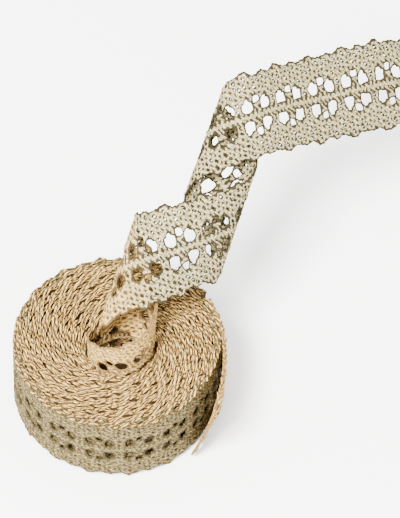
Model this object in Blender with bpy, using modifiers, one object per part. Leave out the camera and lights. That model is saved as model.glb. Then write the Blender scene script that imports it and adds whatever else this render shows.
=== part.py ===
"""A roll of scalloped cotton lace ribbon with both ends loose.

The wound turns are one solid that stands on its edge of scallops. The inner end is pulled
out of the core, twists through a turn and a half and runs away to the right. The outer end
leaves the right side of the roll and leans forward beside it.
Sizes below are in millimetres and become metres where a mesh is made.
"""

import math
from collections import namedtuple

import bmesh
import bpy
import numpy as np

MM = 0.001

# The lace: its width without the scallops, its thickness and its pattern
LACE_WIDTH = 39.4
LACE_THICKNESS = 1.2
PATTERN_REPEAT = 19.5
COLUMNS_PER_REPEAT = 8
MAIN_SCALLOP = 0.7
SMALL_SCALLOP = 0.4

# The wound roll
ROLL_RADIUS = 52.3
TURN_PITCH = 2.25
ROLL_SEGMENTS = 96
STEP_ANGLE = math.radians(35.0)
DENT_DEPTH = 2.2
DENT_ANGLE = math.radians(-32.0)
DENT_HALF_WIDTH = math.radians(45.0)
RIDGE_COUNT = 7
RIDGE_HEIGHT = 1.3
TOP_HEIGHT = 37.9

# The free ribbon is ruled: straight lines cross it from its low edge to its high edge
RULING_HALF = 20.3
RULING_STEPS = 16

# The high edge of the inner end starts this much further along the ribbon than its low edge
INNER_END_SLANT = 16.0

Ruling = namedtuple("Ruling", "place low_x low_y low_z high_x high_y high_z")

INNER_END_RULINGS = (
    Ruling("core left", -15.0, -3.0, 9.0, -15.0, -3.0, 49.6),
    Ruling("core front left", -13.0, -11.0, 12.5, -13.0, -11.0, 53.8),
    Ruling("core front", -6.5, -16.0, 16.0, -6.5, -16.0, 57.5),
    Ruling("core front middle", 2.0, -17.5, 18.5, 2.5, -17.5, 60.2),
    Ruling("core front right", 11.6, -12.8, 20.0, 13.5, -10.5, 62.6),
    Ruling("core right", 15.9, -5.0, 20.5, 18.6, 10.0, 60.6),
    Ruling("core back right", 13.4, 3.5, 25.5, 18.3, 22.2, 65.5),
    Ruling("core back", 7.0, 10.3, 31.5, 15.0, 34.5, 71.0),
    Ruling("core back left", -2.5, 10.8, 38.5, 9.5, 44.5, 73.5),
    Ruling("first fold", -10.0, 3.0, 44.5, 8.5, 48.5, 79.0),
    Ruling("first fold front", -5.5, 2.5, 53.5, 12.5, 45.0, 85.5),
    Ruling("twist front left", 8.0, 5.0, 61.0, 25.0, 45.0, 90.5),
    Ruling("twist front", 24.0, 9.0, 63.5, 40.0, 49.0, 92.5),
    Ruling("twist front right", 39.0, 18.0, 63.5, 54.5, 54.5, 92.5),
    Ruling("second fold", 48.5, 25.5, 59.0, 65.0, 64.5, 89.5),
    Ruling("second fold back", 49.0, 36.0, 57.0, 67.0, 77.0, 88.0),
    Ruling("twist back", 43.5, 48.5, 59.5, 61.5, 90.0, 92.0),
    Ruling("twist back left", 36.0, 57.5, 67.5, 54.0, 99.5, 101.5),
    Ruling("third fold", 37.0, 63.5, 77.0, 54.0, 103.0, 110.5),
    Ruling("third fold front", 43.0, 65.5, 86.5, 57.5, 103.0, 117.0),
    Ruling("opening out", 54.0, 68.0, 92.0, 61.0, 103.0, 119.5),
    Ruling("opened out", 67.5, 73.5, 93.5, 66.5, 105.0, 119.0),
    Ruling("free run start", 80.0, 80.5, 90.5, 70.8, 108.7, 117.5),
    Ruling("free run", 104.0, 94.0, 81.5, 93.0, 122.5, 108.5),
    Ruling("free run middle", 142.5, 113.5, 68.5, 131.5, 143.5, 96.0),
    Ruling("falling", 172.5, 124.5, 56.5, 158.0, 157.0, 74.5),
    Ruling("falling low", 196.0, 136.0, 35.5, 174.0, 168.5, 45.0),
    Ruling("landing", 210.5, 145.5, 14.0, 184.0, 175.5, 18.0),
    Ruling("landed", 221.5, 156.0, 3.4, 192.0, 183.0, 3.4),
    Ruling("lying", 235.5, 172.0, 1.1, 205.5, 199.0, 1.1),
)

OUTER_END_RULINGS = (
    Ruling("seated at the step", 44.2, 25.5, 1.1, 44.2, 25.5, 41.7),
    Ruling("seated on the roll", 48.5, 16.2, 1.1, 48.5, 16.2, 41.7),
    Ruling("leaving the roll", 51.1, 4.5, 1.1, 51.1, 4.5, 41.7),
    Ruling("right of the roll", 50.7, -5.0, 1.1, 51.9, -7.0, 41.7),
    Ruling("starting to lean", 48.4, -14.5, 1.2, 51.3, -20.0, 41.5),
    Ruling("leaning", 44.5, -23.5, 1.3, 49.4, -31.5, 41.0),
    Ruling("leaning further", 40.0, -32.5, 1.4, 47.4, -42.0, 40.4),
    Ruling("cut end", 35.0, -41.0, 1.5, 44.6, -51.5, 39.5),
)

# Lines along the ribbon, as distances from its middle. Large holes lie between two of them.
HOLE_INNER_LINE = 2.7
HOLE_OUTER_LINE = 8.0
FAN_LINE = 14.0

# How a large hole's outer side bends at the four columns of half a repeat, hole middle first
HOLE_OUTER_BEND = (0.6, -0.9, 0.0, -0.9)
HOLE_CORNER_PULL = 0.45

# The section of the roll, from the middle of its underside round to the floor of the core
Ring = namedtuple("Ring", "place radius height follows_wall scallop")

UNDERSIDE = (
    Ring("underside middle", 0.0, 0.0, 0.0, 0.0),
    Ring("underside", 30.0, 0.0, 0.0, 0.0),
    Ring("underside rim", 48.0, 0.0, 1.0, 0.0),
)
WALL = (
    Ring("lower edge", 51.6, 1.1, 1.0, -1.0),
    Ring("low wall", 52.2, 7.0, 1.0, 0.0),
    Ring("high wall", 52.3, 33.0, 1.0, 0.0),
    Ring("upper edge", 51.4, 39.1, 1.0, 1.0),
)
CORE = (
    Ring("core lip", 20.6, 38.9, 0.0, 0.0),
    Ring("core mouth", 18.7, 36.5, 0.0, 0.0),
    Ring("core wall", 18.5, 14.0, 0.0, 0.0),
    Ring("core foot", 12.0, 5.0, 0.0, 0.0),
    Ring("core floor", 0.0, 3.0, 0.0, 0.0),
)

COTTON = (0.66, 0.55, 0.40, 1.0)
COTTON_ROUGHNESS = 0.9


def clear_scene():
    """Start from an empty file."""
    for item in list(bpy.data.objects):
        bpy.data.objects.remove(item, do_unlink=True)


def make_collection(name):
    """Return a new collection that is linked to the scene."""
    collection = bpy.data.collections.new(name)
    bpy.context.scene.collection.children.link(collection)
    return collection


def make_cotton(name):
    """Return the plain unbleached cotton of one piece."""
    material = bpy.data.materials.new(name)
    material.use_nodes = True
    shader = material.node_tree.nodes["Principled BSDF"]
    shader.inputs["Base Color"].default_value = COTTON
    shader.inputs["Roughness"].default_value = COTTON_ROUGHNESS
    shader.inputs["Metallic"].default_value = 0.0
    material.diffuse_color = COTTON
    return material


def scallop(along):
    """How far the edge stands out at a distance along the ribbon."""
    phase = 2 * math.pi * along / PATTERN_REPEAT
    return MAIN_SCALLOP * math.cos(phase) + SMALL_SCALLOP * math.cos(2 * phase)


def finish_piece(name, mesh_data, collection):
    """Make an object of a bmesh, in metres, with its cotton and smooth shading."""
    bmesh.ops.scale(mesh_data, vec=(MM, MM, MM), verts=mesh_data.verts)
    mesh = bpy.data.meshes.new(name)
    mesh_data.to_mesh(mesh)
    mesh_data.free()
    mesh.materials.append(make_cotton(name + "_cotton"))
    mesh.shade_smooth()
    mesh.set_sharp_from_angle(angle=math.radians(40))
    piece = bpy.data.objects.new(name, mesh)
    collection.objects.link(piece)
    return piece


def wall_offset(angle):
    """How far the outer turn lies inside the full radius: its spiral, and a dent at its side."""
    turned = (angle - STEP_ANGLE) % (2 * math.pi)
    if turned > 2 * math.pi - 1e-4:
        turned = 0.0
    offset = -TURN_PITCH * turned / (2 * math.pi)
    from_dent = math.remainder(angle - DENT_ANGLE, 2 * math.pi) / DENT_HALF_WIDTH
    if abs(from_dent) < 1.0:
        offset -= DENT_DEPTH * math.cos(0.5 * math.pi * from_dent) ** 2
    return offset


def top_ridges():
    """Rings of the wound top, a valley and a ridge for every two turns, outermost first."""
    outer = WALL[-1].radius - TURN_PITCH
    inner = CORE[0].radius + TURN_PITCH
    rings = []
    for index in range(RIDGE_COUNT):
        share = index / (RIDGE_COUNT - 1)
        valley = outer + (inner - outer) * share
        follows = 1.0 - share
        rings.append(Ring("valley", valley, TOP_HEIGHT, follows, 0.0))
        if index < RIDGE_COUNT - 1:
            ridge = valley - 0.5 * (outer - inner) / (RIDGE_COUNT - 1)
            rings.append(Ring("ridge", ridge, TOP_HEIGHT + RIDGE_HEIGHT, follows, 0.0))
    return tuple(rings)


def build_roll(collection):
    """Turn the section of the roll round its axis, then bend it to the spiral and scallops."""
    rings = UNDERSIDE + WALL + top_ridges() + CORE
    mesh_data = bmesh.new()
    ring_layer = mesh_data.verts.layers.int.new("ring")
    section = []
    for index, ring in enumerate(rings):
        x = ring.radius * math.cos(STEP_ANGLE)
        y = ring.radius * math.sin(STEP_ANGLE)
        corner = mesh_data.verts.new((x, y, ring.height))
        corner[ring_layer] = index
        section.append(corner)
    for first, second in zip(section, section[1:]):
        mesh_data.edges.new((first, second))
    bmesh.ops.spin(
        mesh_data,
        geom=mesh_data.verts[:] + mesh_data.edges[:],
        cent=(0, 0, 0),
        axis=(0, 0, 1),
        angle=2 * math.pi,
        steps=ROLL_SEGMENTS,
    )
    bmesh.ops.remove_doubles(mesh_data, verts=mesh_data.verts, dist=0.01)
    roll_repeats = round(2 * math.pi * ROLL_RADIUS / PATTERN_REPEAT)
    for corner in mesh_data.verts:
        ring = rings[corner[ring_layer]]
        if ring.radius == 0.0:
            continue
        angle = math.atan2(corner.co.y, corner.co.x)
        along = angle * roll_repeats * PATTERN_REPEAT / (2 * math.pi)
        radius = ring.radius + ring.follows_wall * wall_offset(angle)
        corner.co.x = radius * math.cos(angle)
        corner.co.y = radius * math.sin(angle)
        corner.co.z = ring.height + ring.scallop * scallop(along)
    bmesh.ops.recalc_face_normals(mesh_data, faces=mesh_data.faces)
    return finish_piece("wound_roll", mesh_data, collection)


def smooth_through(rows):
    """Points of a Catmull-Rom curve through the rows, RULING_STEPS from one row to the next."""
    before = 2 * rows[0] - rows[1]
    after = 2 * rows[-1] - rows[-2]
    padded = np.vstack([before, rows, after])
    points = []
    for p0, p1, p2, p3 in zip(padded, padded[1:], padded[2:], padded[3:]):
        d0 = math.sqrt(np.linalg.norm(p1 - p0))
        d1 = math.sqrt(np.linalg.norm(p2 - p1))
        d2 = math.sqrt(np.linalg.norm(p3 - p2))
        leave = (p2 - p1) + d1 * ((p1 - p0) / d0 - (p2 - p0) / (d0 + d1))
        arrive = (p2 - p1) + d1 * ((p3 - p2) / d2 - (p3 - p1) / (d1 + d2))
        for step in range(RULING_STEPS):
            t = step / RULING_STEPS
            start = (2 * t**3 - 3 * t**2 + 1) * p1 + (t**3 - 2 * t**2 + t) * leave
            finish = (3 * t**2 - 2 * t**3) * p2 + (t**3 - t**2) * arrive
            points.append(start + finish)
    points.append(rows[-1])
    return np.array(points)


def lengths_along(points):
    """Distance along a row of points from its first one."""
    steps = np.linalg.norm(np.diff(points, axis=0), axis=1)
    return np.concatenate([[0.0], np.cumsum(steps)])


class RuledRibbon:
    """Lays flat ribbon coordinates on the surface that a table of rulings describes."""

    def __init__(self, rulings, slant):
        rows = np.array([ruling[1:] for ruling in rulings])
        points = smooth_through(rows)
        self.low = points[:, :3]
        self.high = points[:, 3:]
        self.low_length = lengths_along(self.low)
        self.high_length = lengths_along(self.high) + slant
        self.start = max(self.low_length[0], self.high_length[0])
        self.end = min(self.low_length[-1], self.high_length[-1])

    def place(self, along, across):
        """The point at a distance along the ribbon and across it from its middle."""
        share = (across + RULING_HALF) / (2 * RULING_HALF)
        measure = (1 - share) * self.low_length + share * self.high_length
        index = np.arange(len(measure))
        at = np.interp(along, measure, index)
        low = [np.interp(at, index, self.low[:, axis]) for axis in range(3)]
        high = [np.interp(at, index, self.high[:, axis]) for axis in range(3)]
        return [(1 - share) * a + share * b for a, b in zip(low, high)]


def lace_place(column, line, lines):
    """Flat position of a point of the lace net, with the shape of the large holes in it."""
    pitch = PATTERN_REPEAT / COLUMNS_PER_REPEAT
    along = column * pitch
    across = lines[line]
    side = math.copysign(1.0, across)
    phase = column % 4
    if line in (0, len(lines) - 1):
        across += side * scallop(along)
    if math.isclose(abs(across), HOLE_OUTER_LINE):
        across += side * HOLE_OUTER_BEND[phase]
        if phase == 1:
            along -= HOLE_CORNER_PULL
        if phase == 3:
            along += HOLE_CORNER_PULL
    return along, across


def is_large_hole(column, line):
    """Whether the cell after this column and line is half of a large hole."""
    hole_lines = (2, 4)
    return line in hole_lines and column % 4 in (0, 3)


def build_lace(name, rulings, slant, collection):
    """Net a flat grid with the large holes, lay it on the rulings and give it thickness."""
    ribbon = RuledRibbon(rulings, slant)
    pitch = PATTERN_REPEAT / COLUMNS_PER_REPEAT
    half = LACE_WIDTH / 2
    upper = (HOLE_INNER_LINE, HOLE_OUTER_LINE, FAN_LINE, half)
    lines = tuple(-value for value in reversed(upper)) + upper
    cells_across = len(lines) - 1
    cells_along = int((ribbon.end - ribbon.start) / pitch)
    mesh_data = bmesh.new()
    bmesh.ops.create_grid(
        mesh_data,
        x_segments=cells_along,
        y_segments=cells_across,
        size=0.5,
    )
    column_layer = mesh_data.verts.layers.int.new("column")
    line_layer = mesh_data.verts.layers.int.new("line")
    for corner in mesh_data.verts:
        corner[column_layer] = round((corner.co.x + 0.5) * cells_along)
        corner[line_layer] = round((corner.co.y + 0.5) * cells_across)
    holes = []
    for face in mesh_data.faces:
        column = min(corner[column_layer] for corner in face.verts)
        line = min(corner[line_layer] for corner in face.verts)
        whole = 0 < column < cells_along - 1
        if whole and is_large_hole(column, line):
            holes.append(face)
    bmesh.ops.delete(mesh_data, geom=holes, context="FACES")
    for corner in mesh_data.verts:
        along, across = lace_place(corner[column_layer], corner[line_layer], lines)
        corner.co = ribbon.place(ribbon.start + along, across)
    piece = finish_piece(name, mesh_data, collection)
    wall = piece.modifiers.new("Thickness", "SOLIDIFY")
    wall.thickness = LACE_THICKNESS * MM
    wall.offset = 0.0
    return piece


def main():
    clear_scene()
    collection = make_collection("lace_ribbon_roll")
    build_roll(collection)
    build_lace("pulled_inner_end", INNER_END_RULINGS, INNER_END_SLANT, collection)
    build_lace("outer_loose_end", OUTER_END_RULINGS, 0.0, collection)


main()
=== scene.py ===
# %% [markdown]
# A roll of cotton lace ribbon with both ends loose.
# The plain solids of the roll are loaded first and stay fixed. Each piece made below takes the
# place of one of them, so the looks never change the size of the real thing.

# %% The frame
import math

import bpy
import numpy as np
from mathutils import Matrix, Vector


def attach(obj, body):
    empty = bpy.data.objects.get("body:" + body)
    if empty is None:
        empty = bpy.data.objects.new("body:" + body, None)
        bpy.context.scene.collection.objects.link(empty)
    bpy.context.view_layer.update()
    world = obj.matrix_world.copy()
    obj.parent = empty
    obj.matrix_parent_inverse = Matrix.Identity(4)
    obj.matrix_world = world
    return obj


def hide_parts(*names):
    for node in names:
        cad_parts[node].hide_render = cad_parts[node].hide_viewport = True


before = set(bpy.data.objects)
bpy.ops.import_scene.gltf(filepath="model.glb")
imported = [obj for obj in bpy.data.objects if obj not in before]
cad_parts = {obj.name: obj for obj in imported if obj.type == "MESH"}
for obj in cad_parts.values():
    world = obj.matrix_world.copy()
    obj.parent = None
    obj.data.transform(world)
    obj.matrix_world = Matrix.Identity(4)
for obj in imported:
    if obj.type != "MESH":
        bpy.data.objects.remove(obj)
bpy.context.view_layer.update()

# %% [markdown]
# The camera comes first, because it decides how much detail is worth making.
# The roll is seen from about 53 degrees above its side, from far away, so its upright lines stay
# parallel. A long lens gives that flat view.

# %% Camera
CAMERA_AIM = Vector((0.0398, 0.0327, 0.0647))
CAMERA_ELEVATION = math.radians(52.9)
CAMERA_DISTANCE = 5.0
CAMERA_LENS = 712.0


def look_at(item, target):
    """Turn a camera or a lamp so that it faces a point."""
    item.rotation_euler = (target - item.location).to_track_quat("-Z", "Y").to_euler()


def add_camera():
    """Add the camera on its long line of sight, in front of the roll and above it."""
    away = Vector((0.0, -math.cos(CAMERA_ELEVATION), math.sin(CAMERA_ELEVATION)))
    bpy.ops.object.camera_add(location=CAMERA_AIM + CAMERA_DISTANCE * away)
    camera = bpy.context.object
    camera.name = "camera"
    camera.data.lens = CAMERA_LENS
    camera.data.sensor_width = 36.0
    camera.data.clip_end = 10.0
    look_at(camera, CAMERA_AIM)
    bpy.context.scene.camera = camera
    print("camera", [round(value, 4) for value in camera.location])


add_camera()

# %% [markdown]
# The lace is one pattern that repeats every 19.5 mm. Two rows of large openings run beside a band
# of pinholes, and the outer parts are close cloth with smaller holes, ending in scallops.
# The whole ribbon is laid out flat on one grid of small cells, sixteen to a repeat. A hole is a
# point of the grid that is opened, or a few cells that are taken out.

# %% The pattern of the lace
REPEAT = 0.0195
COLUMNS = 16
CELL = REPEAT / COLUMNS
HALF_LINES = 15
LACE_HALF = 0.0197
LINE = LACE_HALF / HALF_LINES
RULING_HALF = 0.0203
MAIN_SCALLOP = 0.0006
SMALL_SCALLOP = 0.0008

# Radius of the three sizes of small hole
DIMPLE = 0.00062
SMALL_HOLE = 0.00074
ROUND_HOLE = 0.00102

# Columns of the opened points on each line of one half of the lace, with their radius
POINT_HOLES = {
    2: {4: DIMPLE, 12: DIMPLE},
    3: {3: DIMPLE, 5: DIMPLE, 12: SMALL_HOLE},
    5: {12: SMALL_HOLE, 10: DIMPLE, 14: DIMPLE},
    7: {0: DIMPLE, 8: DIMPLE, 12: DIMPLE},
    8: {2: DIMPLE, 4: DIMPLE, 6: DIMPLE, 10: SMALL_HOLE, 14: DIMPLE},
    9: {0: DIMPLE, 8: DIMPLE, 12: DIMPLE},
    10: {2: DIMPLE, 4: ROUND_HOLE, 6: DIMPLE, 10: DIMPLE, 14: SMALL_HOLE},
    11: {0: SMALL_HOLE, 8: DIMPLE, 12: SMALL_HOLE},
    12: {2: DIMPLE, 4: DIMPLE, 6: SMALL_HOLE, 10: DIMPLE, 14: DIMPLE},
    13: {0: SMALL_HOLE, 4: SMALL_HOLE, 8: SMALL_HOLE, 12: SMALL_HOLE},
    14: {2: DIMPLE, 6: DIMPLE, 10: DIMPLE, 14: DIMPLE},
}


def point_hole(column, line):
    """Radius of the hole at a point of the grid, or 0 where there is none."""
    if abs(line) == 1:
        offset = 0 if line > 0 else 1
        return DIMPLE if column % 2 == offset else 0.0
    return POINT_HOLES.get(abs(line), {}).get(column % COLUMNS, 0.0)


def in_large_opening(column, line):
    """Whether the cell after this column, between this line and the next, is left open."""
    low = min(abs(line), abs(line + 1))
    beside = (column + 8) % 8
    if low in (2, 3, 4):
        return beside in (0, 1, 6, 7)
    if low == 5 and beside in (0, 7):
        return True
    return low in (5, 6) and column % COLUMNS in (3, 4)


def scallop(along):
    """How far the edge stands out at a distance along the ribbon."""
    phase = 2 * math.pi * along / REPEAT
    return MAIN_SCALLOP * np.cos(phase) + SMALL_SCALLOP * np.cos(2 * phase)


# %% [markdown]
# A real lace machine lays yarns round pins. Cutting holes in a grid gives the same net with far
# fewer faces than a net of separate tubes.
# Points are opened with a vertex bevel, which turns a point into a small ring. The face inside a
# larger ring is deleted. The finest rings keep theirs, as the yarn almost closes them, and get
# painted shade in place of an opening. The big openings are deleted cells whose outline is
# smoothed.

# %% Netting a flat ribbon
ON_GRID = 0.01


def choose(item, mask):
    """Select just the masked points of a mesh, ready for edit mode."""
    mesh = item.data
    mesh.polygons.foreach_set("select", np.zeros(len(mesh.polygons), bool))
    mesh.edges.foreach_set("select", np.zeros(len(mesh.edges), bool))
    mesh.vertices.foreach_set("select", mask)
    bpy.ops.object.mode_set(mode="EDIT")
    bpy.ops.mesh.select_mode(type="VERT")


def points_of(item):
    """The places of a mesh's points as an array."""
    places = np.empty(len(item.data.vertices) * 3)
    item.data.vertices.foreach_get("co", places)
    return places.reshape(-1, 3)


def move_points(item, places):
    """Put the points of a mesh at new places."""
    item.data.vertices.foreach_set("co", places.astype(np.float32).ravel())
    item.data.update()


def add_flat_grid(name, columns, lines, length, width):
    """Add a flat grid that runs along X from the origin and across Y both ways."""
    bpy.ops.object.select_all(action="DESELECT")
    bpy.ops.mesh.primitive_grid_add(x_subdivisions=columns, y_subdivisions=lines, size=1.0)
    item = bpy.context.object
    item.name = name
    item.data.name = name
    places = points_of(item)
    places[:, 0] = np.round((places[:, 0] + 0.5) * columns) / columns * length
    places[:, 1] = np.round((places[:, 1] + 0.5) * lines) / lines * width - width / 2
    move_points(item, places)
    return item


def open_points(item, columns, shift):
    """Ring the holes that stand at points of the grid, one radius at a time, marked for painted
    shade.
    """
    # The depth attribute carries painted shade, from 0 for none to 1 for the darkest.
    item.data.attributes.new("depth", "FLOAT", "POINT")
    for radius in (DIMPLE, SMALL_HOLE, ROUND_HOLE):
        places = points_of(item)
        column = places[:, 0] / CELL
        line = places[:, 1] / LINE
        on_grid = abs(column - np.round(column)) < ON_GRID
        on_grid &= abs(line - np.round(line)) < ON_GRID
        column = np.round(column).astype(int)
        line = np.round(line).astype(int)
        inside = on_grid & (column > 0) & (column < columns)
        mask = np.array([
            inside[i] and point_hole(column[i] + shift, line[i]) == radius
            for i in range(len(places))
        ])
        layer = item.data.attributes["depth"]
        depth = np.empty(len(places), np.float32)
        layer.data.foreach_get("value", depth)
        # The ringed points get full painted shade.
        depth[mask] = 1.0
        layer.data.foreach_set("value", depth)
        choose(item, mask)
        bpy.ops.mesh.bevel(offset=radius, segments=2, affect="VERTICES", clamp_overlap=True)
        if radius != DIMPLE:
            bpy.ops.mesh.select_mode(type="FACE")
            bpy.ops.mesh.delete(type="ONLY_FACE")
        bpy.ops.object.mode_set(mode="OBJECT")


def open_cells(item, columns, shift):
    """Take out the cells of the large and the middling openings."""
    mesh = item.data
    mesh.vertices.foreach_set("select", np.zeros(len(mesh.vertices), bool))
    mesh.edges.foreach_set("select", np.zeros(len(mesh.edges), bool))
    centres = np.empty(len(mesh.polygons) * 3)
    mesh.polygons.foreach_get("center", centres)
    centres = centres.reshape(-1, 3)
    column = np.floor(centres[:, 0] / CELL).astype(int)
    line = np.floor(centres[:, 1] / LINE).astype(int)
    mask = np.array([
        1 < c < columns - 2 and in_large_opening(c + shift, v) for c, v in zip(column, line)
    ])
    mesh.polygons.foreach_set("select", mask)
    bpy.ops.object.mode_set(mode="EDIT")
    bpy.ops.mesh.select_mode(type="FACE")
    bpy.ops.mesh.delete(type="ONLY_FACE")
    bpy.ops.object.mode_set(mode="OBJECT")
    drop_loose(item)


def drop_loose(item):
    """Remove the edges and points that no face uses any more."""
    choose(item, np.ones(len(item.data.vertices), bool))
    bpy.ops.mesh.delete_loose(use_verts=True, use_edges=True, use_faces=False)
    bpy.ops.object.mode_set(mode="OBJECT")


def mark_rims(item):
    """Give every point inside the cloth the full thickness, and the rims of holes less and painted
    shade.
    """
    choose(item, np.zeros(len(item.data.vertices), bool))
    bpy.ops.mesh.select_non_manifold(
        extend=False, use_wire=False, use_boundary=True, use_multi_face=False,
        use_non_contiguous=False, use_verts=False,
    )
    bpy.ops.object.mode_set(mode="OBJECT")
    rim = np.empty(len(item.data.vertices), bool)
    item.data.vertices.foreach_get("select", rim)
    group = item.vertex_groups.new(name="cloth")
    group.add([int(i) for i in np.nonzero(~rim)[0]], 1.0, "REPLACE")
    depth = read_hollow_shade(item)
    print("ring points", int((depth > 0.5).sum()), "rim points", int(rim.sum()))
    # The rims of the holes get full painted shade, as a dark outline.
    paint_hollow_shade(item, np.maximum(depth, rim))
    return rim


def read_hollow_shade(item):
    """The stored depth of each point of a mesh, which sets its painted shade."""
    depth = np.empty(len(item.data.vertices), np.float32)
    item.data.attributes["depth"].data.foreach_get("value", depth)
    return depth


def paint_hollow_shade(item, depth):
    """Store how deep in a hole or a groove each point lies, for the finish to paint shade there."""
    layer = item.data.attributes.get("depth")
    layer = layer or item.data.attributes.new("depth", "FLOAT", "POINT")
    layer.data.foreach_set("value", depth.astype(np.float32))


# Lines between which the openings lie, and columns between and beside their middles
OPENING_LINES = (1.5, 7.5)
OPENING_SPACING = 8
OPENING_REACH = 2.7


def round_openings(item, rim, narrow):
    """Smooth the outlines of the openings and narrow the large ones along the ribbon.

    The outlines still lie on the grid here, which is how their points are found.
    """
    places = points_of(item)
    across = abs(places[:, 1]) / LINE
    column = places[:, 0] / CELL
    on_grid = abs(column - np.round(column)) < ON_GRID
    on_grid &= abs(across - np.round(across)) < ON_GRID
    inner = (across > OPENING_LINES[0]) & (across < OPENING_LINES[1])
    outline = rim & on_grid & inner
    choose(item, outline)
    bpy.ops.mesh.vertices_smooth(factor=0.5, repeat=2)
    bpy.ops.object.mode_set(mode="OBJECT")
    places = points_of(item)
    middle = np.round(column / OPENING_SPACING) * OPENING_SPACING * CELL
    large = outline & (abs(places[:, 0] - middle) < OPENING_REACH * CELL)
    places[large, 0] = middle[large] + narrow * (places[large, 0] - middle[large])
    move_points(item, places)


FREE_THICKNESS = 0.0012
WOUND_THICKNESS = 0.0016
FREE_NARROW = 0.77
WOUND_NARROW = 0.7
RIM_SHARE = 0.5


def thicken(item, thickness):
    """Give the flat net its thickness, thinner at the rims, and apply it."""
    wall = item.modifiers.new("Thickness", "SOLIDIFY")
    wall.thickness = thickness
    wall.offset = 0.0
    wall.vertex_group = "cloth"
    wall.thickness_vertex_group = RIM_SHARE
    bpy.context.view_layer.objects.active = item
    bpy.ops.object.modifier_apply(modifier=wall.name)


def net_ribbon(name, length, thickness, shift=0, narrow=FREE_NARROW):
    """Return a flat lace ribbon of about this length, starting at a column of the pattern."""
    columns = int(length / CELL)
    item = add_flat_grid(name, columns, 2 * HALF_LINES, columns * CELL, 2 * LACE_HALF)
    open_points(item, columns, shift)
    open_cells(item, columns, shift)
    rim = mark_rims(item)
    round_openings(item, rim, narrow)
    thicken(item, thickness)
    print(name, "flat", round(columns * CELL, 4), "m,", len(item.data.polygons), "faces")
    return item, columns * CELL


# %% [markdown]
# Each stretch of ribbon is laid on a path. Cloth bends along straight lines, its rulings, so a
# path is a row of rulings, each from the low edge of the ribbon to its high edge.
# A table with one row for each fold is smoothed, and a flat point finds its ruling by the length
# of ribbon on both edges, which keeps the lace from stretching.

# %% Paths for the ribbon
HALVINGS = 22
NORMAL_STEP = 0.0004
MILLIMETRE = 0.001


class RibbonPath:
    """A path of rulings on which flat ribbon is laid."""

    def __init__(self, low, high, slant=0.0):
        self.low = low
        self.high = high
        self.low_length = self.lengths(low)
        self.high_length = self.lengths(high) + slant
        self.start = max(self.low_length[0], self.high_length[0])
        self.end = min(self.low_length[-1], self.high_length[-1])
        self.index = np.arange(len(low))

    @staticmethod
    def lengths(points):
        """Distance along a row of points from its first one."""
        steps = np.linalg.norm(np.diff(points, axis=0), axis=1)
        return np.concatenate([[0.0], np.cumsum(steps)])

    def between(self, values, at):
        """Read a column of values at places between its rows."""
        return np.interp(at, self.index, values)

    def place(self, along, across):
        """Points in space for flat points, which may lie a little past the ends."""
        share = (across + RULING_HALF) / (2 * RULING_HALF)
        first = np.zeros_like(along)
        last = np.full_like(along, len(self.low) - 1.0)
        for _ in range(HALVINGS):
            middle = 0.5 * (first + last)
            measure = (1 - share) * self.between(self.low_length, middle)
            measure += share * self.between(self.high_length, middle)
            below = measure < along
            first = np.where(below, middle, first)
            last = np.where(below, last, middle)
        at = 0.5 * (first + last)
        low = np.stack([self.between(self.low[:, k], at) for k in range(3)], axis=1)
        high = np.stack([self.between(self.high[:, k], at) for k in range(3)], axis=1)
        return low + share[:, None] * (high - low)

    def normal(self, along, across):
        """The direction out of the cloth at flat points."""
        inside = np.clip(along, self.start + NORMAL_STEP, self.end - NORMAL_STEP)
        ahead = self.place(inside + NORMAL_STEP, across) - self.place(inside - NORMAL_STEP, across)
        up = self.place(inside, across + NORMAL_STEP) - self.place(inside, across - NORMAL_STEP)
        out = np.cross(ahead, up)
        return out / np.linalg.norm(out, axis=1)[:, None]


def smooth_rows(rows, steps=24):
    """A Catmull-Rom curve through rows of numbers."""
    padded = np.vstack([2 * rows[0] - rows[1], rows, 2 * rows[-1] - rows[-2]])
    points = []
    for p0, p1, p2, p3 in zip(padded, padded[1:], padded[2:], padded[3:]):
        d0 = math.sqrt(np.linalg.norm(p1 - p0))
        d1 = math.sqrt(np.linalg.norm(p2 - p1))
        d2 = math.sqrt(np.linalg.norm(p3 - p2))
        leave = (p2 - p1) + d1 * ((p1 - p0) / d0 - (p2 - p0) / (d0 + d1))
        arrive = (p2 - p1) + d1 * ((p3 - p2) / d2 - (p3 - p1) / (d1 + d2))
        for t in np.arange(steps) / steps:
            start = (2 * t**3 - 3 * t**2 + 1) * p1 + (t**3 - 2 * t**2 + t) * leave
            finish = (3 * t**2 - 2 * t**3) * p2 + (t**3 - t**2) * arrive
            points.append(start + finish)
    points.append(rows[-1])
    return np.array(points)


def path_through(rulings, slant=0.0):
    """The path of a table of rulings: a name, the low end and the high end, in millimetres.

    A slant gives the high edge that much more ribbon than the low one from the start.
    """
    points = smooth_rows(np.array([row[1:] for row in rulings]) * MILLIMETRE)
    return RibbonPath(points[:, :3], points[:, 3:], slant)


# %% [markdown]
# Laying the ribbon bends the flat mesh onto its path. Before it bends, the edges get their
# scallops and the cloth gets the small rise and fall of threads that cross.
# The flat place of every point is kept as the UV map, so the weave of the material follows the
# ribbon through its twists.

# %% Laying a ribbon
THREAD_RISE = 0.00012
CORD_RISE = 0.00022
CORD_LINES = (2, 7, 14)
SCALLOP_START = 0.0125
EDGE_BAND = 0.2
PICOT = 0.00022
UNEVEN = 0.00023

# Waves that pull the threads along and across: turns along, turns across, phase
PULLED_ALONG = ((910.0, 700.0, 0.0), (530.0, -860.0, 1.3))
PULLED_ACROSS = ((760.0, -640.0, 2.1), (1130.0, 480.0, 0.0))


def save_flat_map(item, along, across):
    """Write the flat place of each point, in metres, as the UV map."""
    mesh = item.data
    layer = mesh.uv_layers[0] if mesh.uv_layers else mesh.uv_layers.new(name="flat")
    layer.name = "flat"
    corners = np.empty(len(mesh.loops), int)
    mesh.loops.foreach_get("vertex_index", corners)
    flat = np.stack([along, across], axis=1)[corners]
    layer.data.foreach_set("uv", flat.astype(np.float32).ravel())


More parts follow.
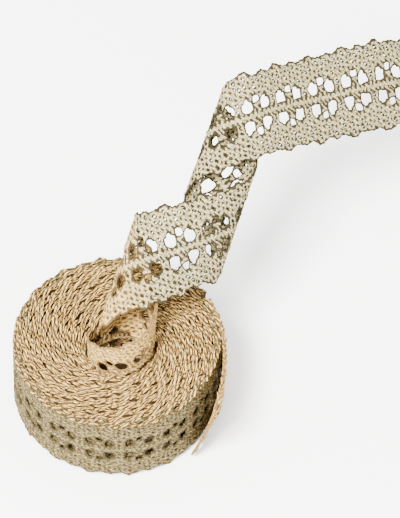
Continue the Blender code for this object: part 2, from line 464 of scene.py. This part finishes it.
def pull_uneven(along, across):
    """How far the threads of a real lace are pulled out of line, along and across."""
    slip, lift = (
        sum(np.sin(a * along + b * across + phase) for a, b, phase in waves)
        for waves in (PULLED_ALONG, PULLED_ACROSS)
    )
    return UNEVEN * slip, UNEVEN * lift


def lay_ribbon(item, path, start, width=1.0, shift=0):
    """Bend a flat ribbon onto a path, from a distance along it and a column of the pattern."""
    places = points_of(item)
    along, across, height = places.T
    column = np.round(along / CELL)
    line = np.round(across / LINE)
    rise = THREAD_RISE * np.where((column + line) % 2 == 0, 1.0, -1.0)
    rise += CORD_RISE * np.isin(abs(line), CORD_LINES)
    save_flat_map(item, along + shift * CELL, across)
    share = np.clip((abs(across) - SCALLOP_START) / (LACE_HALF - SCALLOP_START), 0, 1)
    spread = np.sign(across) * scallop(along + shift * CELL) * share * share
    on_edge = abs(across) > LACE_HALF - EDGE_BAND * LINE
    spread += on_edge * np.sign(across) * PICOT * np.where(column % 2 == 0, 1.0, -1.0)
    slip, lift = pull_uneven(along + shift * CELL, across)
    at = along + start + slip
    reach = across * width + spread + lift
    laid = path.place(at, reach)
    out = path.normal(at, reach)
    move_points(item, laid + out * (height + rise)[:, None])
    item.data.shade_smooth()


# %% [markdown]
# The pulled end starts against the wall of the core, stands up at its front, and turns over three
# folds before it opens out to the right. Past the picture it falls to the table and lies down.
# These are the rulings of the plain solid. Only at the third fold they lie up to 4 mm further
# left, where the picture has it.

# %% The path of the pulled end
PULLED_RULINGS = (
    ("core left", -15.0, -3.0, 9.0, -15.0, -3.0, 49.6),
    ("core front left", -13.0, -11.0, 12.5, -13.0, -11.0, 53.8),
    ("core front", -6.5, -16.0, 16.0, -6.5, -16.0, 57.5),
    ("core front middle", 2.0, -17.5, 18.5, 2.5, -17.5, 60.2),
    ("core front right", 11.6, -12.8, 20.0, 13.5, -10.5, 62.6),
    ("core right", 15.9, -5.0, 20.5, 18.6, 10.0, 60.6),
    ("core back right", 13.4, 3.5, 25.5, 18.3, 22.2, 65.5),
    ("core back", 7.0, 10.3, 31.5, 15.0, 34.5, 71.0),
    ("core back left", -2.5, 10.8, 38.5, 9.5, 44.5, 73.5),
    ("first fold", -10.0, 3.0, 44.5, 8.5, 48.5, 79.0),
    ("first fold front", -5.5, 2.5, 53.5, 12.5, 45.0, 85.5),
    ("twist front left", 8.0, 5.0, 61.0, 25.0, 45.0, 90.5),
    ("twist front", 24.0, 9.0, 63.5, 40.0, 49.0, 92.5),
    ("twist front right", 39.0, 18.0, 63.5, 54.5, 54.5, 92.5),
    ("second fold", 48.5, 25.5, 59.0, 65.0, 64.5, 89.5),
    ("second fold back", 49.0, 36.0, 57.0, 67.0, 77.0, 88.0),
    ("twist back", 42.0, 48.5, 59.5, 60.5, 90.0, 92.0),
    ("twist back left", 32.5, 57.5, 67.5, 52.0, 99.5, 101.5),
    ("third fold", 33.0, 63.5, 77.0, 51.5, 103.0, 110.5),
    ("third fold front", 40.0, 65.5, 86.5, 55.5, 103.0, 117.0),
    ("opening out", 54.0, 68.0, 92.0, 61.0, 103.0, 119.5),
    ("opened out", 67.5, 73.5, 93.5, 66.5, 105.0, 119.0),
    ("free run start", 80.0, 80.5, 90.5, 70.8, 108.7, 117.5),
    ("free run", 104.0, 94.0, 81.5, 93.0, 122.5, 108.5),
    ("free run middle", 142.5, 113.5, 68.5, 131.5, 143.5, 96.0),
    ("falling", 172.5, 124.5, 56.5, 158.0, 157.0, 74.5),
    ("falling low", 196.0, 136.0, 35.5, 174.0, 168.5, 45.0),
    ("landing", 210.5, 145.5, 14.0, 184.0, 175.5, 18.0),
    ("landed", 221.5, 156.0, 3.4, 192.0, 183.0, 3.4),
    ("lying", 235.5, 172.0, 1.1, 205.5, 199.0, 1.1),
)
PULLED_SLANT = 0.016

pulled_path = path_through(PULLED_RULINGS, PULLED_SLANT)
print("pulled end", round(pulled_path.end - pulled_path.start, 4), "m of ribbon")

# %% [markdown]
# The scallops stand out past the cloth that the rulings carry, so the free ribbon is laid a little
# wider than its net. The pattern starts at the column that puts the openings where they show.

# %% Laying the pulled end
FREE_WIDTH = 1.06
PULLED_SHIFT = 7
pulled_end, pulled_length = net_ribbon(
    "lace_pulled_end", pulled_path.end - pulled_path.start, FREE_THICKNESS, PULLED_SHIFT,
)
lay_ribbon(pulled_end, pulled_path, pulled_path.start, FREE_WIDTH, PULLED_SHIFT)

# %% [markdown]
# The outer end leaves the right side of the roll and leans forward beside it. From the camera it
# shows only its edge.

# %% The path of the outer end
WOUND_WIDTH = 0.98
OUTER_RULINGS = (
    ("seated at the step", 44.2, 25.5, 1.1, 44.2, 25.5, 41.7),
    ("seated on the roll", 48.5, 16.2, 1.1, 48.5, 16.2, 41.7),
    ("leaving the roll", 51.1, 4.5, 1.1, 51.1, 4.5, 41.7),
    ("right of the roll", 50.7, -5.0, 1.1, 51.9, -7.0, 41.7),
    ("starting to lean", 48.4, -14.5, 1.2, 51.3, -20.0, 41.5),
    ("leaning", 44.5, -23.5, 1.3, 49.4, -31.5, 41.0),
    ("leaning further", 40.0, -32.5, 1.4, 47.4, -42.0, 40.4),
    ("cut end", 35.0, -41.0, 1.5, 44.6, -51.5, 39.5),
)

outer_path = path_through(OUTER_RULINGS)
outer_end, outer_length = net_ribbon(
    "lace_outer_end", outer_path.end - outer_path.start, FREE_THICKNESS,
)
lay_ribbon(outer_end, outer_path, outer_path.start, WOUND_WIDTH)

# %% [markdown]
# The wound turns follow one spiral, 2.25 mm from turn to turn. The two outer turns are full lace,
# because the second one shows through the openings of the first, and so is the innermost one,
# which lines the core.
# The turns further in show only their edges, so they are plain walls of cloth with a twisted edge
# of yarn along the top and the bottom.
# Going inwards, the turns close up behind the core on the left, where the pulled end has drawn
# them tight. The outer ones share the dent in the front of the roll and sway a little.

# %% The spiral of the roll
ROLL_RADIUS = 0.0523
TURN_PITCH = 0.00225
STEP_ANGLE = math.radians(35.0)
DENT_DEPTH = 0.0022
DENT_ANGLE = math.radians(-32.0)
DENT_HALF_WIDTH = math.radians(45.0)
WOUND_TURNS = 14.55
CLOSING_DEPTH = 0.0034
CLOSING_ANGLE = math.radians(140.0)
OUTER_INSET = 0.0006
SWAY = 0.00035
ROLL_MIDDLE = 0.0209
TURN_STEPS = 240


def turn_radius(turned):
    """Radius of the middle of the cloth after turning this far inwards from the outer end."""
    turns = turned / (2 * np.pi)
    radius = ROLL_RADIUS - OUTER_INSET - TURN_PITCH * turns
    angle = turned + STEP_ANGLE
    from_dent = np.abs((angle - DENT_ANGLE + np.pi) % (2 * np.pi) - np.pi) / DENT_HALF_WIDTH
    dent = DENT_DEPTH * np.cos(0.5 * np.pi * np.clip(from_dent, 0, 1)) ** 2
    inward = turns / WOUND_TURNS
    sway = SWAY * np.sin(3.1 * angle + 7.7 * inward) * np.sin(0.7 * turned)
    facing = 0.5 + 0.5 * np.cos(angle - CLOSING_ANGLE)
    closing = CLOSING_DEPTH * inward ** 2 * facing ** 4
    return radius - dent * (1 - inward) + sway * (1 - inward) - closing


def spiral_path(first_turn, last_turn):
    """The path of the wound ribbon between two counts of turns from the outside."""
    steps = int((last_turn - first_turn) * TURN_STEPS)
    turned = np.linspace(first_turn, last_turn, steps + 1) * 2 * np.pi
    radius = turn_radius(turned)
    angle = turned + STEP_ANGLE
    low = np.stack([
        radius * np.cos(angle),
        radius * np.sin(angle),
        np.full_like(radius, ROLL_MIDDLE - RULING_HALF),
    ], axis=1)
    high = low + np.array([0.0, 0.0, 2 * RULING_HALF])
    return RibbonPath(low, high)


def wound_before(turn):
    """Length of ribbon that is wound outside a turn."""
    return spiral_path(0.0, turn).end


def wind_lace(name, first_turn):
    """Make one full turn of lace whose pattern runs on from the turn outside it."""
    path = spiral_path(first_turn, first_turn + 1.0)
    shift = round(wound_before(first_turn) / CELL) if first_turn else 0
    item, length = net_ribbon(name, path.end, WOUND_THICKNESS, shift, WOUND_NARROW)
    lay_ribbon(item, path, 0.0, WOUND_WIDTH, shift)
    return item, length


whole_spiral = spiral_path(0.0, WOUND_TURNS)
print("wound length", round(whole_spiral.end, 3), "m")

# %% The outer turns and the innermost one
face_turn, face_length = wind_lace("lace_face_turn", 0.0)
under_turn, under_length = wind_lace("lace_under_turn", 1.0)
core_turn, core_length = wind_lace("lace_core_turn", WOUND_TURNS - 1.0)

# %% [markdown]
# An inner turn is a plain wall. The walls are one long strip of cells that is thickened and laid
# on the same spiral, a little lower than the lace so that the yarn edge stands above it.
# Its upper edge gets painted shade, so the gaps between the yarns look dark from above.

# %% The inner turns
WALL_STEP = 0.0024
WALL_THICKNESS = 0.0014
WALL_HALF = 0.0180
WALL_EDGE = 0.7
WALL_SHADE_START = 0.5
WALL_SHADE_RANGE = 0.4
inner_path = spiral_path(2.0, WOUND_TURNS - 1.0)


def lay_walls():
    """Make the plain cloth of the inner turns."""
    columns = int(inner_path.end / WALL_STEP)
    item = add_flat_grid("wound_walls", columns, 4, columns * WALL_STEP, 2 * WALL_HALF)
    wall = item.modifiers.new("Thickness", "SOLIDIFY")
    wall.thickness = WALL_THICKNESS
    wall.offset = 0.0
    bpy.ops.object.modifier_apply(modifier=wall.name)
    places = points_of(item)
    along, across, height = places.T
    save_flat_map(item, along, across)
    edge = abs(across) / LACE_HALF > WALL_EDGE
    spread = np.sign(across) * scallop(along + wound_before(2.0)) * edge
    laid = inner_path.place(along, across + spread)
    out = inner_path.normal(along, across)
    move_points(item, laid + out * height[:, None])
    item.data.shade_smooth()
    # Painted shade that grows towards the upper edge, for the gaps between the turns.
    shade = (across / LACE_HALF - WALL_SHADE_START) / WALL_SHADE_RANGE
    paint_hollow_shade(item, np.clip(shade, 0.0, 1.0))
    print("walls", len(item.data.polygons), "faces")
    return item


wound_walls = lay_walls()

# %% [markdown]
# Down in the core the roll is closed by the crossed inner turns. A shallow dish of the same cloth
# stands for them, so that no floor shows through. All of it gets painted shade, deep in the core.

# %% The bottom of the core
DISH_RADIUS = 0.0190
DISH_HEIGHT = 0.0030
DISH_RISE = 0.0020
DISH_RINGS = 5
DISH_SHADE = 0.6


def add_dish():
    """Add the cloth at the bottom of the core, highest at its rim."""
    bpy.ops.object.select_all(action="DESELECT")
    bpy.ops.mesh.primitive_circle_add(
        vertices=48, radius=DISH_RADIUS, fill_type="NGON", location=(0.0, 0.0, 0.0),
    )
    item = bpy.context.object
    item.name = "core_bottom"
    bpy.ops.object.mode_set(mode="EDIT")
    bpy.ops.mesh.select_all(action="SELECT")
    for _ in range(DISH_RINGS):
        bpy.ops.mesh.inset(thickness=DISH_RADIUS / (DISH_RINGS + 1), depth=0.0)
    bpy.ops.object.mode_set(mode="OBJECT")
    places = points_of(item)
    distance = np.hypot(places[:, 0], places[:, 1]) / DISH_RADIUS
    places[:, 2] = DISH_HEIGHT + DISH_RISE * distance ** 2
    save_flat_map(item, places[:, 0], places[:, 1])
    move_points(item, places)
    wall = item.modifiers.new("Thickness", "SOLIDIFY")
    wall.thickness = WALL_THICKNESS
    wall.offset = -1.0
    bpy.ops.object.modifier_apply(modifier=wall.name)
    # Painted shade over the whole dish, deep in the core.
    paint_hollow_shade(item, np.full(len(item.data.vertices), DISH_SHADE))
    item.data.shade_smooth()
    print("dish", len(item.data.polygons), "faces")
    return item


core_bottom = add_dish()

# %% [markdown]
# The edge of each turn is a thick and a thin two-ply yarn side by side. The section of a yarn is a
# flattened ring that turns as it goes along, which gives the slanted dashes of twisted yarn.
# The rings are placed along the spiral one by one, because the section has to turn, rise and fall
# with the scallops. Each point also stores how deep it lies: the waist between the two plies and
# the underside are deep, so the finish paints shade on them.

# %% The yarn along the edges
LOBE_RADIUS = 0.00068
WAIST_RADIUS = 0.00032
YARN_TWIST = 0.0074
SIDE_SWAY = 0.00032
UP_SWAY = 0.00038
SLACK_TWIST = 0.7
SWELLING = 0.14
WAIST_SHADE = 0.75
UNDER_SHADE_START = 0.3
UNDER_SHADE_RANGE = 0.6

# Waves of a yarn's uneven sway: strength, length, share of the phase
SWAY_WAVES = ((1.0, 0.0071, 1.0), (0.8, 0.0113, 2.3), (0.7, 0.0267, 3.1))
SLACK_WAVE = 0.0137
SWELLING_WAVE = 0.0093


def wave_along(along, length, phase):
    """A sine wave of a length along the ribbon."""
    return np.sin(2 * np.pi * along / length + phase)


def wander(along, phase, size):
    """A small uneven sway of a yarn, from three waves that never line up."""
    sway = sum(
        strength * wave_along(along, length, share * phase)
        for strength, length, share in SWAY_WAVES
    )
    return size * sway / sum(strength for strength, _, _ in SWAY_WAVES)


def yarn_along(name, path, across, beside, detail, turn, phase, thickness):
    """Sweep a twisted yarn, so many times as thick as the plain one, along a laid edge.

    The detail is the distance between its rings and the corners of each. The turn is 1 or -1 for
    the way that it is twisted.
    """
    step, sides = detail
    along = np.arange(0.0, path.end, step)
    side = math.copysign(1.0, across)
    middle = np.full_like(along, across) + side * scallop(along)
    centre = path.place(along, middle)
    out = path.normal(along, middle)
    centre = centre + out * (beside + wander(along, phase, SIDE_SWAY))[:, None]
    up = np.array([0.0, 0.0, 1.0])
    centre = centre + up * wander(along, phase + 1.7, UP_SWAY)[:, None]
    twist = turn * 2 * np.pi * along / YARN_TWIST + phase
    twist += SLACK_TWIST * wave_along(along, SLACK_WAVE, phase)
    size = 1.0 + SWELLING * wave_along(along, SWELLING_WAVE, 1.9 * phase)
    corner = np.arange(sides) * 2 * np.pi / sides
    waist = np.sin(corner) ** 2
    radius = LOBE_RADIUS + (WAIST_RADIUS - LOBE_RADIUS) * waist
    angle = corner[None, :] + twist[:, None]
    # Painted shade on the waist between the plies and on the underside of the yarn.
    under = (UNDER_SHADE_START - np.sin(angle)) / UNDER_SHADE_RANGE
    yarn_shade = np.maximum(WAIST_SHADE * waist[None, :], under)
    reach = thickness * radius[None, :] * size[:, None]
    rings = centre[:, None, :] + out[:, None, :] * (reach * np.cos(angle))[:, :, None]
    rings = rings + up * (reach * np.sin(angle))[:, :, None]
    item = tube_through(name, rings)
    flat_along = np.repeat(along, sides)
    flat_across = np.tile(corner, len(along)) * LOBE_RADIUS
    save_flat_map(item, flat_along, flat_across)
    paint_hollow_shade(item, np.clip(yarn_shade, 0.0, 1.0).ravel())
    print(name, len(item.data.polygons), "faces")
    return item


def tube_through(name, rings):
    """Make a closed tube through rings of points."""
    count, sides = rings.shape[:2]
    faces = []
    for ring in range(count - 1):
        here = ring * sides
        for corner in range(sides):
            beside = (corner + 1) % sides
            faces.append((
                here + corner, here + beside, here + sides + beside, here + sides + corner,
            ))
    faces.append(tuple(range(sides))[::-1])
    faces.append(tuple((count - 1) * sides + corner for corner in range(sides)))
    mesh = bpy.data.meshes.new(name)
    mesh.from_pydata(rings.reshape(-1, 3).tolist(), [], faces)
    item = bpy.data.objects.new(name, mesh)
    bpy.context.scene.collection.objects.link(item)
    bpy.ops.object.select_all(action="DESELECT")
    bpy.context.view_layer.objects.active = item
    choose(item, np.ones(count * sides, bool))
    bpy.ops.mesh.normals_make_consistent(inside=False)
    bpy.ops.object.mode_set(mode="OBJECT")
    item.data.shade_smooth()
    return item


YARN_INSET = 0.0006
EDGE = WOUND_WIDTH * LACE_HALF - YARN_INSET
THICK_BESIDE = 0.0003
THIN_BESIDE = -0.0008
VERY_THICK = 1.4
THICK = 1.1
PLAIN = 1.0
THIN = 0.85
FINE = (0.0007, 8)
COARSE = (0.0012, 6)
edge_yarns = [
    yarn_along("upper_thick_yarn", whole_spiral, EDGE, THICK_BESIDE, FINE, 1, 0.0, VERY_THICK),
    yarn_along("upper_thin_yarn", whole_spiral, EDGE, THIN_BESIDE, FINE, 1, 2.1, THIN),
    yarn_along("lower_thick_yarn", whole_spiral, -EDGE, THICK_BESIDE, COARSE, 1, 0.7, THICK),
    yarn_along("lower_thin_yarn", whole_spiral, -EDGE, THIN_BESIDE, COARSE, -1, 3.3, THIN),
]
end_yarns = [
    yarn_along("end_thick_yarn", outer_path, EDGE, THICK_BESIDE, FINE, 1, 0.4, THICK),
    yarn_along("end_thin_yarn", outer_path, EDGE, THIN_BESIDE, FINE, -1, 1.9, THIN),
    yarn_along("end_lower_yarn", outer_path, -EDGE, 0.0, FINE, 1, 2.6, PLAIN),
]

# %% [markdown]
# Unbleached cotton is a matt cream with fine fibres. Its threads cross over and under, so the
# surface is a grid of small bumps at the scale of the yarn.
# The weave is worked out from the flat map of the ribbon. One node group holds it, and each
# material gives it its own strength and colours. The grooves between the threads and what was
# marked as deep get painted shade.

# %% The cotton weave
WANDER_SCALE = 420.0
WANDER_SIZE = 0.0030
FIBRE_SCALE = 2400.0
FIBRE_RISE = 0.5
FIBRE_BASE = 0.3
STREAK_SCALE = 620.0
STREAK_STRETCH = 2.6
STREAK_RANGE = (0.36, 0.54)
HOLLOW_SHADE_RANGE = (0.18, 0.7)
TINT_SCALE = 600.0
TINT_RANGE = (0.36, 0.64)


def link(tree, source, target):
    """Join two sockets."""
    tree.links.new(source, target)


def math_node(tree, operation, first, second=None):
    """Add a Math node whose inputs are sockets or plain numbers."""
    node = tree.nodes.new("ShaderNodeMath")
    node.operation = operation
    for index, value in enumerate((first, second)):
        if value is None:
            continue
        if isinstance(value, (int, float)):
            node.inputs[index].default_value = value
        else:
            link(tree, value, node.inputs[index])
    return node.outputs[0]


def noise_node(tree, vector, scale, detail):
    """Add a Noise Texture at a scale in features per metre."""
    node = tree.nodes.new("ShaderNodeTexNoise")
    node.inputs["Scale"].default_value = scale
    node.inputs["Detail"].default_value = detail
    link(tree, vector, node.inputs["Vector"])
    return node.outputs["Fac"]


def wave(tree, value, pitch):
    """The rise and fall of threads at a pitch: 1 on a thread and 0 between two."""
    turns = math_node(tree, "MULTIPLY", math_node(tree, "DIVIDE", value, pitch), math.pi)
    return math_node(tree, "ABSOLUTE", math_node(tree, "SINE", turns))


def ramp(tree, value, low, high):
    """A smooth step that is 1 below a low value and 0 above a high one."""
    node = tree.nodes.new("ShaderNodeMapRange")
    node.interpolation_type = "SMOOTHSTEP"
    node.inputs["From Min"].default_value = low
    node.inputs["From Max"].default_value = high
    node.inputs["To Min"].default_value = 1.0
    node.inputs["To Max"].default_value = 0.0
    link(tree, value, node.inputs["Value"])
    return node.outputs[0]


def stretched(tree, vector, across):
    """A flat place whose distance across the ribbon counts more, for streaks along it."""
    node = tree.nodes.new("ShaderNodeMapping")
    node.inputs["Scale"].default_value = (1.0, across, 1.0)
    link(tree, vector, node.inputs["Vector"])
    return node.outputs[0]


def build_weave_group():
    """Slanting threads at a given pitch, with fibres, as a height, a painted shade and a tint."""
    tree = bpy.data.node_groups.new("cotton_weave", "ShaderNodeTree")
    face = tree.interface
    for name, value in (("Pitch", 0.0017), ("Threads", 0.6), ("Streaks", 0.5), ("Depth", 1.0)):
        socket = face.new_socket(name=name, in_out="INPUT", socket_type="NodeSocketFloat")
        socket.default_value = value
    for name in ("Height", "Shade", "Tint"):
        face.new_socket(name=name, in_out="OUTPUT", socket_type="NodeSocketFloat")
    group_in = tree.nodes.new("NodeGroupInput")
    group_out = tree.nodes.new("NodeGroupOutput")
    pitch = group_in.outputs["Pitch"]
    uv = tree.nodes.new("ShaderNodeUVMap")
    uv.uv_map = "flat"
    flat = uv.outputs["UV"]
    split = tree.nodes.new("ShaderNodeSeparateXYZ")
    link(tree, flat, split.inputs[0])
    shift = math_node(tree, "MULTIPLY", noise_node(tree, flat, WANDER_SCALE, 2.0), WANDER_SIZE)
    along = math_node(tree, "ADD", split.outputs[0], shift)
    across = math_node(tree, "SUBTRACT", split.outputs[1], shift)
    rising = wave(tree, math_node(tree, "ADD", along, across), pitch)
    falling = wave(tree, math_node(tree, "SUBTRACT", along, split.outputs[1]), pitch)
    threads = math_node(tree, "MULTIPLY", rising, falling)
    fibre = noise_node(tree, flat, FIBRE_SCALE, 3.0)
    streak = noise_node(tree, stretched(tree, flat, STREAK_STRETCH), STREAK_SCALE, 3.0)
    relief = math_node(tree, "ADD", threads, math_node(tree, "MULTIPLY", fibre, FIBRE_RISE))
    relief = math_node(tree, "ADD", relief, streak)
    link(tree, relief, group_out.inputs["Height"])
    # Painted shade in the grooves between the threads.
    between = math_node(tree, "POWER", math_node(tree, "SUBTRACT", 1.0, threads), 2.0)
    between = math_node(tree, "MULTIPLY", between, math_node(tree, "ADD", fibre, FIBRE_BASE))
    between = math_node(tree, "MULTIPLY", between, group_in.outputs["Threads"])
    streaks = math_node(tree, "MULTIPLY", ramp(tree, streak, *STREAK_RANGE), fibre)
    streaks = math_node(tree, "MULTIPLY", streaks, group_in.outputs["Streaks"])
    # Painted shade where points were marked deep.
    depth = tree.nodes.new("ShaderNodeAttribute")
    depth.attribute_name = "depth"
    hollow_shade = math_node(tree, "SUBTRACT", 1.0, ramp(tree, depth.outputs["Fac"], *HOLLOW_SHADE_RANGE))
    hollow_shade = math_node(tree, "MULTIPLY", hollow_shade, group_in.outputs["Depth"])
    shade = math_node(tree, "ADD", math_node(tree, "ADD", between, streaks), hollow_shade)
    link(tree, math_node(tree, "MINIMUM", shade, 1.0), group_out.inputs["Shade"])
    patches = noise_node(tree, flat, TINT_SCALE, 4.0)
    tint = math_node(tree, "SUBTRACT", 1.0, ramp(tree, patches, *TINT_RANGE))
    link(tree, tint, group_out.inputs["Tint"])
    return tree


weave_group = build_weave_group()

# %% [markdown]
# Each material mixes a light and a darker cream and paints shade into the hollows in brown. The
# free ribbon is greyer than the yarns on top of the roll, and its first stretch, inside the core,
# is a warm golden cream of painted bounce light that fades out as the ribbon leaves the roll. The
# roll's side and its inner walls are darker copies of the same cotton, painted shade.

# %% The cotton finishes
# Painted warm bounce light for the first stretch of the ribbon, in the shade of its loop, with its
# hollow shade.
BOUNCE_LIGHT_CREAM = (0.68, 0.435, 0.125)
BOUNCE_HOLLOW_SHADE = (0.16, 0.095, 0.035)
BOUNCE_LIGHT_STRETCH = (0.084, 0.13)
COTTON_ROUGHNESS = 1.0
COTTON_SHINE = 0.04
RELIEF_DISTANCE = 0.0004


def mix_colours(tree, amount, first, second):
    """Mix two colours, each a socket or three numbers, by a socket."""
    node = tree.nodes.new("ShaderNodeMix")
    node.data_type = "RGBA"
    link(tree, amount, node.inputs[0])
    for index, colour in ((6, first), (7, second)):
        if isinstance(colour, tuple):
            node.inputs[index].default_value = (*colour, 1.0)
        else:
            link(tree, colour, node.inputs[index])
    return node.outputs[2]


def cotton(name, light, dark, hollow_shade, weave_values, bump, bounce_light=None):
    """Make a cotton finish from a light and a darker cream and a colour of painted shade for the
    hollows.

    The weave values are the pitch of the threads and the strengths of the threads, the streaks
    and the painted hollow shade. A warm colour, where one is given, paints warm bounce light on the
    first stretch of the ribbon.
    """
    material = bpy.data.materials.new(name)
    material.use_nodes = True
    tree = material.node_tree
    shader = tree.nodes["Principled BSDF"]
    shader.inputs["Roughness"].default_value = COTTON_ROUGHNESS
    shader.inputs["Specular IOR Level"].default_value = COTTON_SHINE
    weave = tree.nodes.new("ShaderNodeGroup")
    weave.node_tree = weave_group
    for socket, value in zip(("Pitch", "Threads", "Streaks", "Depth"), weave_values):
        weave.inputs[socket].default_value = value
    cream = mix_colours(tree, weave.outputs["Tint"], light, dark)
    if bounce_light:
        flat = tree.nodes.new("ShaderNodeUVMap")
        flat.uv_map = "flat"
        along = tree.nodes.new("ShaderNodeSeparateXYZ")
        link(tree, flat.outputs["UV"], along.inputs[0])
        # The first stretch gets painted warm bounce light, fading out along the ribbon.
        start = ramp(tree, along.outputs[0], *BOUNCE_LIGHT_STRETCH)
        cream = mix_colours(tree, start, cream, bounce_light)
        hollow_shade = mix_colours(tree, start, hollow_shade, BOUNCE_HOLLOW_SHADE)
    shaded = mix_colours(tree, weave.outputs["Shade"], cream, hollow_shade)
    link(tree, shaded, shader.inputs["Base Color"])
    relief = tree.nodes.new("ShaderNodeBump")
    relief.inputs["Strength"].default_value = bump
    relief.inputs["Distance"].default_value = RELIEF_DISTANCE
    link(tree, weave.outputs["Height"], relief.inputs["Height"])
    link(tree, relief.outputs["Normal"], shader.inputs["Normal"])
    return material


free_cotton = cotton(
    "free_lace_cotton", (0.51, 0.435, 0.235), (0.31, 0.255, 0.125), (0.025, 0.02, 0.01),
    (0.0017, 0.6, 1.1, 1.0), 0.9, bounce_light=BOUNCE_LIGHT_CREAM,
)
# The outer turns make the roll's side, painted much darker than the yarns on top as the shade it
# stands in.
side_shade_cotton = cotton(
    "wound_lace_side_shade", (0.30, 0.232, 0.11), (0.125, 0.095, 0.042), (0.04, 0.03, 0.012),
    (0.0017, 0.7, 1.6, 0.6), 1.0,
)
core_cotton = cotton(
    "core_lace_cotton", (0.72, 0.48, 0.19), (0.52, 0.33, 0.12), (0.10, 0.055, 0.02),
    (0.0017, 0.7, 1.0, 0.9), 0.8,
)
# The inner walls and the bottom of the core are painted dark as the shade between the turns.
wall_shade_cotton = cotton(
    "wound_wall_shade", (0.28, 0.20, 0.085), (0.18, 0.125, 0.05), (0.03, 0.018, 0.007),
    (0.0022, 0.8, 1.0, 0.95), 0.9,
)
yarn_cotton = cotton(
    "edge_yarn_cotton", (0.80, 0.53, 0.19), (0.36, 0.215, 0.066), (0.045, 0.024, 0.008),
    (0.0012, 0.3, 0.7, 1.0), 0.6,
)


def finish(item, material):
    """Give a piece its one material."""
    item.data.materials.clear()
    item.data.materials.append(material)


for piece, material in (
    (pulled_end, free_cotton),
    (outer_end, free_cotton),
    (face_turn, side_shade_cotton),
    (under_turn, side_shade_cotton),
    (core_turn, core_cotton),
    (wound_walls, wall_shade_cotton),
    (core_bottom, wall_shade_cotton),
    *((yarn, yarn_cotton) for yarn in edge_yarns + end_yarns),
):
    finish(piece, material)

# %% [markdown]
# The roll stands on a plain pale floor under one soft light from above, in front and a little to
# the left. A wide dim light from the front right and a bright even sky open the shadows.

# %% Floor and light
FLOOR_SIZE = 6.0
FLOOR_DROP = -0.0002
FLOOR_WHITE = 0.93
SKY_STRENGTH = 2.9
LIGHT_TARGET = Vector((0.05, 0.04, 0.03))


def add_floor():
    """Add the plain pale floor."""
    bpy.ops.object.select_all(action="DESELECT")
    bpy.ops.mesh.primitive_plane_add(size=FLOOR_SIZE, location=(0.0, 0.0, FLOOR_DROP))
    floor = bpy.context.object
    floor.name = "floor"
    material = bpy.data.materials.new("floor_paper")
    material.use_nodes = True
    shader = material.node_tree.nodes["Principled BSDF"]
    shader.inputs["Base Color"].default_value = (FLOOR_WHITE, FLOOR_WHITE, FLOOR_WHITE, 1.0)
    shader.inputs["Roughness"].default_value = 0.9
    floor.data.materials.append(material)


def add_soft_light(name, place, size, power, colour):
    """Add a square area light that faces the roll."""
    bpy.ops.object.light_add(type="AREA", location=place)
    lamp = bpy.context.object
    lamp.name = name
    lamp.data.size = size
    lamp.data.energy = power
    lamp.data.color = colour
    look_at(lamp, LIGHT_TARGET)


def light_sky():
    """Give the world an even white light."""
    world = bpy.context.scene.world or bpy.data.worlds.new("studio")
    bpy.context.scene.world = world
    world.use_nodes = True
    sky = world.node_tree.nodes["Background"]
    sky.inputs["Color"].default_value = (1.0, 1.0, 1.0, 1.0)
    sky.inputs["Strength"].default_value = SKY_STRENGTH


add_floor()
add_soft_light("key", (-0.5, -0.75, 1.4), 0.6, 190.0, (1.0, 0.99, 0.96))
add_soft_light("front", (0.9, -1.3, 0.9), 1.4, 22.0, (1.0, 1.0, 1.0))
light_sky()

# %% [markdown]
# Every piece is carried by the root body, and the plain solids that the pieces stand for are
# hidden.

# %% Joining the pieces to the frame
for piece in (
    pulled_end, outer_end, face_turn, under_turn, core_turn, wound_walls, core_bottom,
    *edge_yarns, *end_yarns,
):
    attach(piece, "root")

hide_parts("pulled_inner_end")
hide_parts("outer_loose_end")
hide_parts("wound_roll")
